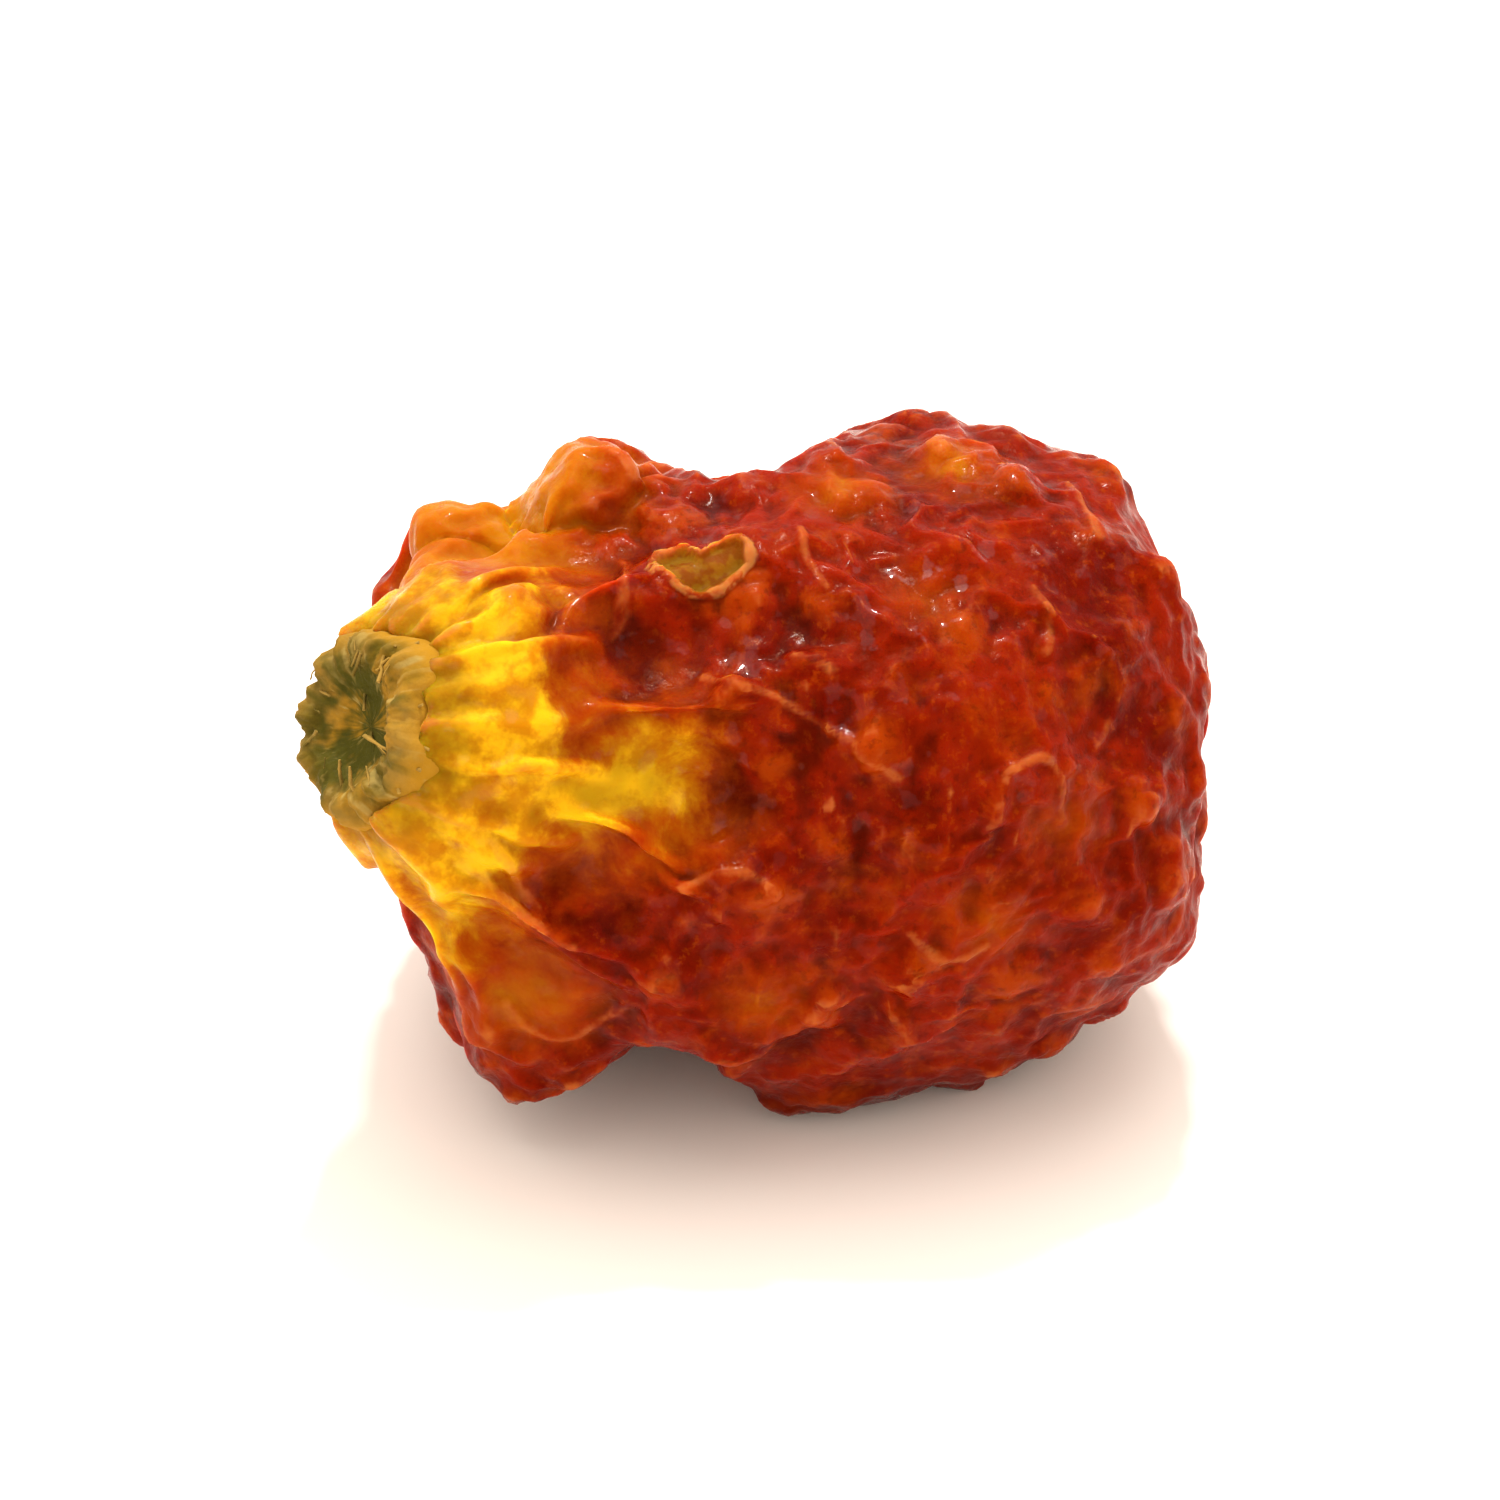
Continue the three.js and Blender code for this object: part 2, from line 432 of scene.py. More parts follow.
class SkinNet:
    """Six square grids of corners, one for each side of a cube blown up into a ball.

    Values at the corners are arrays whose last three axes are side, row and column. A corner
    on an edge of the cube is in two or three of the grids, and share() adds its copies up.
    """

    def __init__(self, squares):
        steps = np.tan(np.linspace(-1, 1, squares + 1) * math.pi / 4)
        u, v = np.meshgrid(steps, steps, indexing="ij")
        one = np.ones_like(u)
        sides = [(one, u, v), (-one, v, u), (v, one, u), (u, -one, v), (u, v, one), (v, u, -one)]
        ways = np.array(sides).transpose(0, 2, 3, 1).reshape(-1, 3)
        ways /= np.linalg.norm(ways, axis=1, keepdims=True)
        _, first, corner = np.unique(
            np.round(ways, 6), axis=0, return_index=True, return_inverse=True
        )
        self.ways = ways[first] @ NET_TURN
        self.corner = corner.reshape(6, squares + 1, squares + 1)
        copies = np.bincount(corner.ravel())[corner.ravel()]
        self.shared = np.flatnonzero(copies > 1)
        self.group = np.unique(corner.ravel()[self.shared], return_inverse=True)[1]
        self.links = list(self.make_links(squares + 1))

    def make_links(self, size):
        """Each way to a neighbour: the two ends' slices, and a weight for each link.

        The links along an edge of the cube are in two grids, so they weigh half as much.
        """
        whole, low, high = slice(None), slice(None, -1), slice(1, None)
        edge = np.ones(size, np.float32)
        edge[[0, -1]] = 0.5
        across = np.ones(size - 1, np.float32)
        yield (low, whole), (high, whole), np.outer(across, edge), True
        yield (whole, low), (whole, high), np.outer(edge, across), True
        yield (low, low), (high, high), np.outer(across, across), False
        yield (low, high), (high, low), np.outer(across, across), False

    def mesh(self, name):
        corner = self.corner
        low, high = slice(None, -1), slice(1, None)
        turns = ((low, low), (high, low), (high, high), (low, high))
        squares = np.stack([corner[:, row, column] for row, column in turns], axis=-1)
        mesh = bpy.data.meshes.new(name)
        mesh.from_pydata(self.ways.tolist(), [], squares.reshape(-1, 4).tolist())
        return mesh

    def spread(self, values):
        """Values of the mesh's corners, laid out on the grids."""
        return np.ascontiguousarray(values.T[..., self.corner], dtype=np.float32)

    def collect(self, grids, count):
        values = np.empty((count, 3), np.float32)
        values[self.corner.ravel()] = grids.reshape(3, -1).T
        return values

    def share(self, grids):
        for row in grids.reshape(3, -1):
            sums = np.bincount(self.group, row[self.shared])
            row[self.shared] = sums[self.group]

    def bend(self, grids):
        """How far each corner's neighbours lie from it, on the mean.

        The weights of the straight and slanting links make the mean alike in every direction.
        """
        total = np.zeros_like(grids)
        for start, end, weight, straight in self.links:
            start, end = (..., *start), (..., *end)
            step = (grids[end] - grids[start]) * (weight * (2 / 3 if straight else 1 / 6))
            total[start] += step
            total[end] -= step
        self.share(total)
        return total

    def pull(self, grids, lengths):
        """The springs' pull on each corner, where each spring would be so long."""
        total = np.zeros_like(grids)
        for (start, end, weight, straight), wanted in zip(self.links, lengths):
            start, end = (..., *start), (..., *end)
            way = grids[end] - grids[start]
            size = np.sqrt((way * way).sum(axis=0))
            way *= (1 - wanted / size) * (weight * (1 if straight else 0.5))
            total[start] += way
            total[end] -= way
        self.share(total)
        return total


def read_values(collection, name, width):
    values = np.empty(len(collection) * width, np.float32)
    collection.foreach_get(name, values)
    return values.reshape(-1, width)


class Settling(NamedTuple):
    """How the skin settles on the pulp, with lengths in squares of the net.

    The skin is stiffer in the ribs round the stalk. The pulp keeps it from sinking in, lifting
    out and sliding along, and lets it go once it has lifted far enough. The lead is how far the
    lines of the ribs and creases stand out at the start.
    """

    stiffness: float
    rib_stiffness: float
    hold_in: float
    hold_out: float
    hold_along: float
    let_go: float
    lead: float


# How far the skin is stirred at the start, in squares, and how that stir is evened out
STIR = 0.25
STIR_SEED = 3
STIR_ROUNDS = 6
STIR_EVENING = 0.3
# How far a force moves the skin in one round, and the share of its speed that it keeps
SETTLE_STEP = 0.3
SETTLE_DRAG = 0.93
# The rounds, and the share of them in which the skin is still growing
SETTLE_ROUNDS = 600
GROWTH_SHARE = 0.7
# How much harder the pulp holds the skin where it clings
GRIP = 0.06


def settle_skin(net, mesh, growth, gathering, rules):
    """Grows the skin that lies on the pulp, and lets it settle into folds."""
    rest = net.spread(read_values(mesh.vertices, "co", 3))
    facing = net.spread(read_values(mesh.vertex_normals, "vector", 3))
    slack, gather, lead, grip = (
        net.spread(read_values(mesh.attributes[name].data, "value", 1)[:, 0])
        for name in ("slack", "gather", "lead", "grip")
    )
    start, end, _, _ = net.links[0]
    steps = rest[(..., *end)] - rest[(..., *start)]
    cell = float(np.sqrt((steps * steps).sum(axis=0)).mean())
    rest /= cell

    socket = np.array(SOCKET, np.float32)[:, None, None, None] / cell
    stalk = np.array(STALK_WAY, np.float32)
    lengths, extra = [], []
    for start, end, _, _ in net.links:
        one, other = rest[(..., *start)], rest[(..., *end)]
        way = other - one
        size = np.sqrt((way * way).sum(axis=0))
        round_stalk = np.cross((one + other) / 2 - socket, stalk, axis=0)
        round_stalk /= np.sqrt((round_stalk * round_stalk).sum(axis=0)) + 1e-6
        turned = (way * round_stalk).sum(axis=0) / size
        loose = (slack[(..., *start)] + slack[(..., *end)]) / 2
        gathered = (gather[(..., *start)] + gather[(..., *end)]) / 2
        lengths.append(size)
        extra.append(size * (growth * loose + gathering * gathered * turned**2))

    stir = np.random.default_rng(STIR_SEED).normal(size=len(mesh.vertices)).astype(np.float32)
    stir = np.repeat(net.spread(stir)[None], 3, axis=0)
    for _ in range(STIR_ROUNDS):
        stir += STIR_EVENING * net.bend(stir)
    stiffness = rules.stiffness + (rules.rib_stiffness - rules.stiffness) * gather
    skin = rest + (STIR * stir / stir.std() + rules.lead * lead) * facing
    speed = np.zeros_like(skin)
    for i in range(SETTLE_ROUNDS):
        grown = min(1, i / (GROWTH_SHARE * SETTLE_ROUNDS))
        moved = skin - rest
        lift = (moved * facing).sum(axis=0)
        hold_out = rules.hold_out / (1 + (lift / rules.let_go) ** 2)
        hold = np.where(lift < 0, rules.hold_in, hold_out + GRIP * grip)
        force = net.pull(skin, [size + grown * more for size, more in zip(lengths, extra)])
        force -= net.bend(stiffness * net.bend(moved))
        force -= (hold - rules.hold_along) * lift * facing + rules.hold_along * moved
        speed = SETTLE_DRAG * (speed + SETTLE_STEP * force)
        skin += SETTLE_STEP * speed
    places = net.collect(skin * cell, len(mesh.vertices))
    mesh.vertices.foreach_set("co", places.ravel())
    mesh.update()


# Fruit


# Light creases of the near side. Each curves through three points, given as mm to the right
# of and above the middle of the berry, as the main view shows them.
CREASES = (
    ((-0.9, 1.6), (0.9, 0.75), (2.8, -0.55)),
    ((-5.9, -1.0), (-5.0, -1.8), (-3.9, -2.9)),
    ((-2.5, 3.6), (-2.35, 2.8), (-2.5, 2.1)),
    ((5.4, 3.2), (5.65, 2.5), (5.6, 1.9)),
    ((6.5, 2.2), (7.0, 1.2), (6.6, 0.1)),
    ((5.9, 5.1), (6.3, 4.6), (6.5, 4.0)),
    ((4.8, -0.5), (5.7, -0.2), (5.9, -1.4)),
    ((1.0, 4.2), (1.1, 3.7), (1.4, 3.1)),
    ((-4.5, -4.8), (-3.6, -5.5), (-2.4, -4.9)),
    ((-5.2, -2.4), (-4.5, -2.8), (-3.9, -3.3)),
    ((3.1, -3.6), (3.8, -4.0), (4.5, -3.8)),
    ((-1.3, -2.6), (-0.4, -2.2), (0.5, -2.7)),
)
CREASE_HEIGHT = 0.08 * MM
# The scar's line, given as the creases are, and its sizes
SCAR = (((-1.4, 3.65), (-0.95, 3.4), (-0.45, 3.7)),)
SCAR_RADIUS = 0.42 * MM
SCAR_RIM = 0.14 * MM
SCAR_RIM_HEIGHT = 0.14 * MM
SCAR_DEPTH = 0.05 * MM

# Knobs that swell out of the near side. Each has its place in the main view, as the creases
# have, and its radius in mm. It rises, with a valley round it, by these shares of its radius.
KNOBS = (
    ((-5.8, 4.2), 1.2),
    ((-5.85, 3.6), 1.0),
    ((-4.4, 2.9), 0.65),
    ((-3.4, 5.2), 1.5),
)
KNOB_RISE = 0.28
KNOB_VALLEY = 0.14

# Lines along which the skin of the near side is yellow, given as the creases are
YELLOW = (
    ((-4.9, 3.3), (-4.7, 2.0), (-4.0, 0.5)),
    ((-4.2, 0.6), (-3.9, -0.4), (-3.4, -1.1)),
    ((-3.4, -1.0), (-2.7, -0.8), (-1.9, -0.6)),
    ((-4.2, -1.2), (-5.2, -2.2), (-5.9, -3.4)),
)
# Spots of the near side that are orange: each one's place, and how far it spreads in mm, where
# one below 0 is small and faint
ORANGE = (
    ((-5.2, 3.8), 2.0),
    ((-3.9, 4.9), 1.6),
    ((-4.2, -4.7), 0.5),
    ((1.7, 5.1), 0.0),
    ((3.8, 5.5), 0.1),
    ((3.2, 3.0), -0.4),
    ((4.6, -3.3), -0.25),
    ((6.1, -1.4), -0.3),
    ((0.3, -4.9), -0.15),
)
# The middle of the near side's wettest patch, given in the same way
SYRUP = (3.4, 3.5)
# The points along each arc
ARC_POINTS = 16

# The seeds lie this far apart, and there are at most so many to a square metre
SEED_SPACING = 1.35 * MM
SEED_RADIUS = 0.85 * MM
SEEDS_PER_AREA = 1200000.0
PEBBLE_HEIGHT = 0.06 * MM

# The collar of skin round the stub: how far from the stalk's line it is, and how far the skin
# there is drawn up and in
COLLAR_RADIUS = 2.15 * MM
COLLAR_WIDTH = 0.7 * MM
COLLAR_RISE = 1.5 * MM
COLLAR_DRAW = 0.4 * MM

# The net is blown up from a core line this long, as a share of the fruit's length
CORE_SHARE = 0.65

BROAD_FOLDS = Settling(
    stiffness=0.1,
    rib_stiffness=0.3,
    hold_in=0.2,
    hold_out=0.01,
    hold_along=0.002,
    let_go=3.0,
    lead=0.6,
)
FINE_FOLDS = Settling(
    stiffness=0.01,
    rib_stiffness=0.05,
    hold_in=0.4,
    hold_out=0.03,
    hold_along=0.004,
    let_go=1.0,
    lead=0.8,
)

# How far the skin rises over its own mean round each place: each relief's name, the rounds of
# blurring that give the mean, and the rise that counts as one
RELIEFS = (
    ("fine_crest", 3, 0.012 * MM),
    ("crest", 14, 0.07 * MM),
    ("swell", 70, 0.16 * MM),
)


def seen_place(surface, right, up):
    """The place on the fruit that the main view shows so far right and up of its middle."""
    aim = WHOLE_MIDDLE + (VIEW_RIGHT * right + VIEW_UP * up) * MM
    return surface.ray_cast(VIEW_POINT, (aim - VIEW_POINT).normalized())[0]


def arcs_on(surface, name, arcs):
    """The arcs as chains of edges that lie on the fruit."""
    places, edges = [], []
    for points in arcs:
        start, middle, end = (Vector(point) for point in points)
        for i in range(ARC_POINTS):
            t = i / (ARC_POINTS - 1)
            bow = 4 * t * (1 - t)
            point = start.lerp(end, t) + bow * (middle - (start + end) / 2)
            if i > 0:
                edges.append((len(places) - 1, len(places)))
            places.append(seen_place(surface, *point))
    mesh = bpy.data.meshes.new(name)
    mesh.from_pydata(places, edges, [])
    return link_object(name, mesh)


def knobs_on(surface):
    """The knobs' middles as points on the fruit that hold their radii."""
    mesh = bpy.data.meshes.new("knobs")
    mesh.from_pydata([seen_place(surface, *place) for place, _ in KNOBS], [], [])
    radii = mesh.attributes.new("radius", "FLOAT", "POINT")
    radii.data.foreach_set("value", [radius * MM for _, radius in KNOBS])
    return link_object("knobs", mesh)


def lay_on_fruit(shape):
    """The net, blown up from the core line on to the fruit, and evened out a little."""
    place = shape.place()
    fruit = shape.node("GeometryNodeMergeByDistance", None, {0: shape.thing("Fruit"), 2: 1e-7})
    fruit = shape.node("GeometryNodeSubdivisionSurface", None, {"Mesh": fruit, "Level": 2})
    x = shape.parts(place)[0]
    source = shape.joined(
        x * (CORE_SHARE * FRUIT_HALF.x) + FRUIT_HEART.x, FRUIT_HEART.y, FRUIT_HEART.z
    )
    aim = shape.vector("MULTIPLY_ADD", place, tuple(FRUIT_HALF), tuple(FRUIT_HEART))
    sockets = {
        "Target Geometry": fruit,
        "Source Position": source,
        "Ray Direction": shape.vector("SUBTRACT", aim, source),
        "Ray Length": 1.0,
    }
    hit = shape.node("GeometryNodeRaycast", None, sockets, "Hit Position")
    pulp = shape.put(shape.given("Geometry"), hit)
    return shape.put(pulp, shape.mean_place(5))


def knob_shape(shape):
    """The knobs' domes from 0 to 1, and the rise that they and their valleys give the pulp."""
    knobs = shape.thing("Knobs")
    nearest = shape.node("GeometryNodeSampleNearest", {"domain": "POINT"}, {"Geometry": knobs})
    sockets = {"Geometry": knobs, "Value": shape.stored("radius"), "Index": nearest}
    radius = shape.node("GeometryNodeSampleIndex", {"data_type": "FLOAT"}, sockets)
    lumpy = shape.noise(shape.place(), 1.3 * MM, 2.0, 0.6, 5.3) - 0.5
    edge = shape.how_near(knobs, "POINTS") / radius + lumpy * 1.2
    dome = shape.smooth(edge, 0.1, 1.05, 1.0, 0.0)
    valley = shape.smooth((edge - 1.2).maths("ABSOLUTE"), 0.0, 0.4, 1.0, 0.0)
    return dome, (dome * KNOB_RISE - valley * KNOB_VALLEY) * radius


def seed_bumps(shape, pulp, shoulder):
    """Bumps from 0 to 1 over the seeds strewn in the pulp, except in the ribs."""
    place = shape.place()
    sockets = {"Mesh": pulp, "Distance Min": SEED_SPACING, "Density Max": SEEDS_PER_AREA, "Seed": 4}
    settings = {"distribute_method": "POISSON"}
    seeds = shape.node("GeometryNodeDistributePointsOnFaces", settings, sockets)
    uneven = (shape.noise(place, 0.7 * MM, 2.0, 0.6, 3.1) - 0.5) * MM
    distance = shape.how_near(seeds, "POINTS") + uneven
    ripe = shape.smooth(shape.noise(place, 2 * MM, 1.0, 0.5, 1.3), 0.3, 0.6)
    return shape.smooth(distance, 0.0, SEED_RADIUS, 1.0, 0.0) * ripe * (1 - shoulder)


def pulp_tree(values):
    """Lays the net on the fruit, dents it over the pulp, and marks how its skin will fold."""
    shape = ShapeWiring("shrunken_pulp", values)
    smooth, noise, given = shape.smooth, shape.noise, shape.given
    place = shape.place()
    pulp = lay_on_fruit(shape)

    socket_distance = shape.distance(place, tuple(SOCKET))
    clear = smooth(socket_distance, SOCKET_EDGE, SOCKET_CLEAR)
    reach = given("Rib Reach")
    shoulder = smooth(socket_distance, reach * 0.5, reach, 1.0, 0.0) * clear
    wander = noise(place, 2.5 * MM, 1.0, 0.5, 2.0) - 0.5
    ribs = (shape.stalk_angle(place) * given("Rib Count") + wander * 7).maths("COSINE")

    crease_distance = shape.arc_distance("Creases")
    crease = smooth(crease_distance, 0.05 * MM, 0.25 * MM, 1.0, 0.0)
    uneven = noise(place, 0.5 * MM, 2.0, 0.6, 6.0) - 0.5
    scar_distance = shape.arc_distance("Scar") + uneven * (0.5 * MM)
    scar = smooth(scar_distance, SCAR_RADIUS, SCAR_RADIUS + 2 * SCAR_RIM, 1.0, 0.0)
    dome, knob_rise = knob_shape(shape)

    looseness = noise(place, 3.6 * MM, 1.0, 0.5, 8.8)
    patchy = noise(place, 1.1 * MM, 1.0, 0.5, 2.6)
    slack = smooth(looseness, 0.34, 0.66, 0.45, 1.2) * smooth(patchy, 0.3, 0.7, 0.5, 1.5)
    # The skin clings to the pulp in its notches and on its knobs
    bulge = shape.rise_over_mean(80).maths("ABSOLUTE")
    grip = smooth(bulge, 0.08 * MM, 0.3 * MM).maths("MAXIMUM", dome * 0.5)
    marks = {
        "lead": crease * 1.8 + ribs * shoulder * 0.5,
        "crease_distance": crease_distance,
        "scar_distance": scar_distance / SCAR_RADIUS,
        "yellow_distance": shape.arc_distance("Yellow"),
        "knob": dome,
        "gather": shoulder,
        "slack": slack * (1 - shoulder * 0.35) * (1 - scar * 0.85) * clear,
        "grip": grip,
    }
    for name, value in marks.items():
        pulp = shape.store(pulp, name, value)
    pulp = shape.store(pulp, "seed", seed_bumps(shape, pulp, shoulder))

    dent = noise(place, 3.2 * MM, 3.0, 0.62, 7.7) - 0.5
    rim = smooth((scar_distance - SCAR_RADIUS).maths("ABSOLUTE"), 0.0, SCAR_RIM, 1.0, 0.0)
    rise = (dent * 2 * given("Dent Depth") - given("Shrinking")) * clear + knob_rise
    pulp = shape.push(pulp, rise + rim * SCAR_RIM_HEIGHT - scar * SCAR_DEPTH)
    return shape.finish(pulp)


def raise_collar(shape, skin):
    """Draws the skin round the stub in, and up the side that it dried on."""
    place = shape.place()
    height, radius, outward = shape.stalk_parts(place)
    off_middle = (radius - COLLAR_RADIUS).maths("ABSOLUTE")
    collar = shape.smooth(off_middle, 0.0, COLLAR_WIDTH, 1.0, 0.0)
    collar = collar * shape.smooth(height, -1.5 * MM, -0.5 * MM)
    ragged = shape.noise(place, 0.9 * MM, 2.0, 0.5, 4.1)
    rise = shape.scaled(tuple(STALK_WAY), collar * ragged * COLLAR_RISE)
    draw = shape.scaled(outward, collar * -COLLAR_DRAW)
    return shape.move(skin, shape.vector("ADD", rise, draw))


def skin_tree(values):
    """Gives the settled skin its seeds, creases and collar, flattens the part that lies on the
    ground, and marks the relief."""
    shape = ShapeWiring("settled_skin", values)
    place = shape.place()
    pebble = shape.noise(place, 0.45 * MM, 2.0, 0.5, 5.9) - 0.5
    wobble = (shape.noise(place, 0.8 * MM, 2.0, 0.5, 8.3) - 0.5) * (0.3 * MM)
    crease = (shape.stored("crease_distance") + wobble).maths("ABSOLUTE")
    crease = shape.smooth(crease, 0.0, 0.2 * MM, 1.0, 0.0)
    bumps = shape.stored("seed") * shape.given("Seed Height") + pebble * PEBBLE_HEIGHT
    bumps = bumps + crease * CREASE_HEIGHT
    height, radius, _ = shape.stalk_parts(place)
    off_stub = shape.smooth(radius, SOCKET_EDGE, SOCKET_CLEAR)
    off_stub = shape.smooth(height, -1.5 * MM, -3 * MM, off_stub, 1.0)
    skin = shape.push(shape.given("Geometry"), bumps * off_stub)
    skin = raise_collar(shape, skin)
    for name, rounds, size in RELIEFS:
        skin = shape.store(skin, name, shape.rise_over_mean(rounds) / size)
    x, y, z = shape.parts(place)
    skin = shape.put(skin, shape.joined(x, y, z.maths("MAXIMUM", 0.0)))
    return shape.finish(skin)


def make_fruit(settings):
    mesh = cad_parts["dried_fruit"].data
    corners = [corner.co for corner in mesh.vertices]
    surface = BVHTree.FromPolygons(corners, [face.vertices for face in mesh.polygons])
    orange_spots = [(seen_place(surface, *place), reach) for place, reach in ORANGE]
    paint = skin_paint(settings, orange_spots, seen_place(surface, *SYRUP))
    guides = {
        "Creases": arcs_on(surface, "creases", CREASES),
        "Scar": arcs_on(surface, "scar", SCAR),
        "Knobs": knobs_on(surface),
        "Yellow": arcs_on(surface, "yellow", YELLOW),
    }
    net = SkinNet(settings.squares)
    values = {
        "Fruit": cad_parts["dried_fruit"],
        **guides,
        "Shrinking": settings.shrinking,
        "Dent Depth": settings.dent_depth,
        "Rib Count": float(settings.rib_count),
        "Rib Reach": settings.rib_reach,
        "Material": paint,
    }
    skin = bake_shape("pulp", net.mesh("net"), pulp_tree, values)
    for guide in guides.values():
        bpy.data.objects.remove(guide)
    settle_skin(net, skin, settings.broad_growth, settings.gathering, BROAD_FOLDS)
    settle_skin(net, skin, settings.fine_growth, settings.fine_gathering, FINE_FOLDS)
    values = {"Seed Height": settings.seed_height, "Material": paint}
    fruit = link_object("fruit", bake_shape("fruit", skin, skin_tree, values))
    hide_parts("dried_fruit")
    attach(fruit, "root")


# Paints


class Paint(Wiring):
    """Wiring of a material's nodes."""

    def __init__(self, name):
        self.material = bpy.data.materials.new(name)
        self.material.use_nodes = True
        super().__init__(self.material.node_tree)

    def place(self):
        return self.node("ShaderNodeTexCoord", None, None, "Object")

    def stored(self, name):
        return self.node("ShaderNodeAttribute", {"attribute_name": name}, None, "Fac")

    def bump(self, height, depth):
        sockets = {"Strength": 0.8, "Distance": depth, "Height": height}
        return self.node("ShaderNodeBump", None, sockets)

    def finish(self, sockets):
        shader = self.tree.nodes["Principled BSDF"]
        for name, value in sockets.items():
            if isinstance(value, Wire):
                self.tree.links.new(value.socket, shader.inputs[name])
            else:
                shader.inputs[name].default_value = value
        return self.material


def flesh_colour(paint, settings, cloud, hollow_shade):
    """Red orange, with a painted glow on the seeds, crests and knobs, lighter and darker in random
    flecks, and painted shade in the hollows and underneath.
    """
    smooth, mix, noise = paint.smooth, paint.mix, paint.noise
    place = paint.place()
    colour = mix(smooth(cloud, 0.4, 0.58), settings.deep_flesh, settings.flesh)
    patch = noise(place, 1.2 * MM, 4.0, 0.65, 5.1, 0.6)
    # Painted glow: lighter over the seeds, crests and knobs, as if lit through the skin, and in
    # random patches
    light = paint.stored("seed") * 0.18 + patch + paint.stored("crest") * 0.03
    light = light + paint.stored("knob") * 0.15
    colour = mix(smooth(light, 0.5, 0.76) * 0.7, colour, settings.orange_and_painted_glow)
    fleck = noise(place, 0.22 * MM, 3.0, 0.65, 3.7)
    colour = mix(smooth(fleck, 0.54, 0.7) * 0.45, colour, settings.orange_and_painted_glow)
    colour = mix(smooth(fleck, 0.46, 0.34) * 0.35, colour, settings.deep)
    # Painted shade in the hollows of the folds
    colour = mix(hollow_shade * 0.65, colour, settings.deep)
    # Painted shade: darker towards the bottom
    level = paint.parts(place)[2] + (patch - 0.5) * (2 * MM)
    return mix(smooth(level, 2.4 * MM, 0.6 * MM) * 0.55, colour, settings.deep)


def add_yellow(paint, settings, colour, cloud, mottle, hollow_shade, orange_spots):
    """Yellow round the stalk and along the near side's lines, with amber and orange round it."""
    smooth, mix, noise = paint.smooth, paint.mix, paint.noise
    place = paint.place()
    from_socket = paint.distance(place, tuple(SOCKET))
    distance = paint.stored("yellow_distance").maths("MINIMUM", from_socket - 2.3 * MM)
    uneven = (noise(place, 1.1 * MM, 5.0, 0.68, 3.3, 0.4) - 0.46) * (3.6 * MM)
    reach = distance + uneven - paint.stored("crest") * (0.25 * MM)
    orange = reach
    for heart, radius in orange_spots:
        spot = paint.distance(place, tuple(heart)) + (1 - radius) * MM + uneven * 0.5
        orange = orange.maths("MINIMUM", spot)
    orange = orange + (mottle - 0.5) * (1.4 * MM)
    colour = mix(smooth(orange, 2.6 * MM, 1.0 * MM, 0.0, 0.8), colour, settings.orange_and_painted_glow)
    amber = smooth(orange, 1.7 * MM, 0.4 * MM, 0.0, 0.9) * smooth(cloud, 0.38, 0.6, 1.0, 0.4)
    colour = mix(amber, colour, settings.amber)
    yellow = mix(smooth(mottle, 0.43, 0.6, 0.0, 0.9), settings.shoulder, settings.amber)
    # Olive in random mottles, and as painted shade in the hollows
    yellow = mix(smooth(cloud, 0.5, 0.66) * 0.45 + hollow_shade * 0.5, yellow, settings.olive)
    colour = mix(smooth(reach, 1.1 * MM, 0.1 * MM), colour, yellow)
    collar = from_socket + (noise(place, 0.5 * MM, 2.0, 0.6, 1.2) - 0.5) * (0.9 * MM)
    return mix(smooth(collar, 2.5 * MM, 1.9 * MM) * 0.7, colour, settings.olive)


def dry_and_highlight_lines(paint, cloud, mottle):
    """1 on the sharpest crests and along the creases, where the skin is pale: partly dry skin,
    partly a painted highlight.
    """
    smooth = paint.smooth
    # Pale dry skin on the sharpest crests, in patches: partly a painted highlight
    dry_and_highlight_patches = smooth(paint.noise(paint.place(), 0.7 * MM, 3.0, 0.6, 9.0), 0.42, 0.62)
    dry_and_highlight = smooth(paint.stored("fine_crest"), 1.8, 4.2) * dry_and_highlight_patches * 0.55
    # Pale lines along the creases: partly dry skin, partly a painted highlight
    frayed = paint.stored("crease_distance") + (mottle - 0.5) * (0.35 * MM)
    line = smooth(frayed.maths("ABSOLUTE"), 0.12 * MM, 0.0)
    return dry_and_highlight.maths("MAXIMUM", line * smooth(cloud, 0.42, 0.56, 0.0, 0.4))


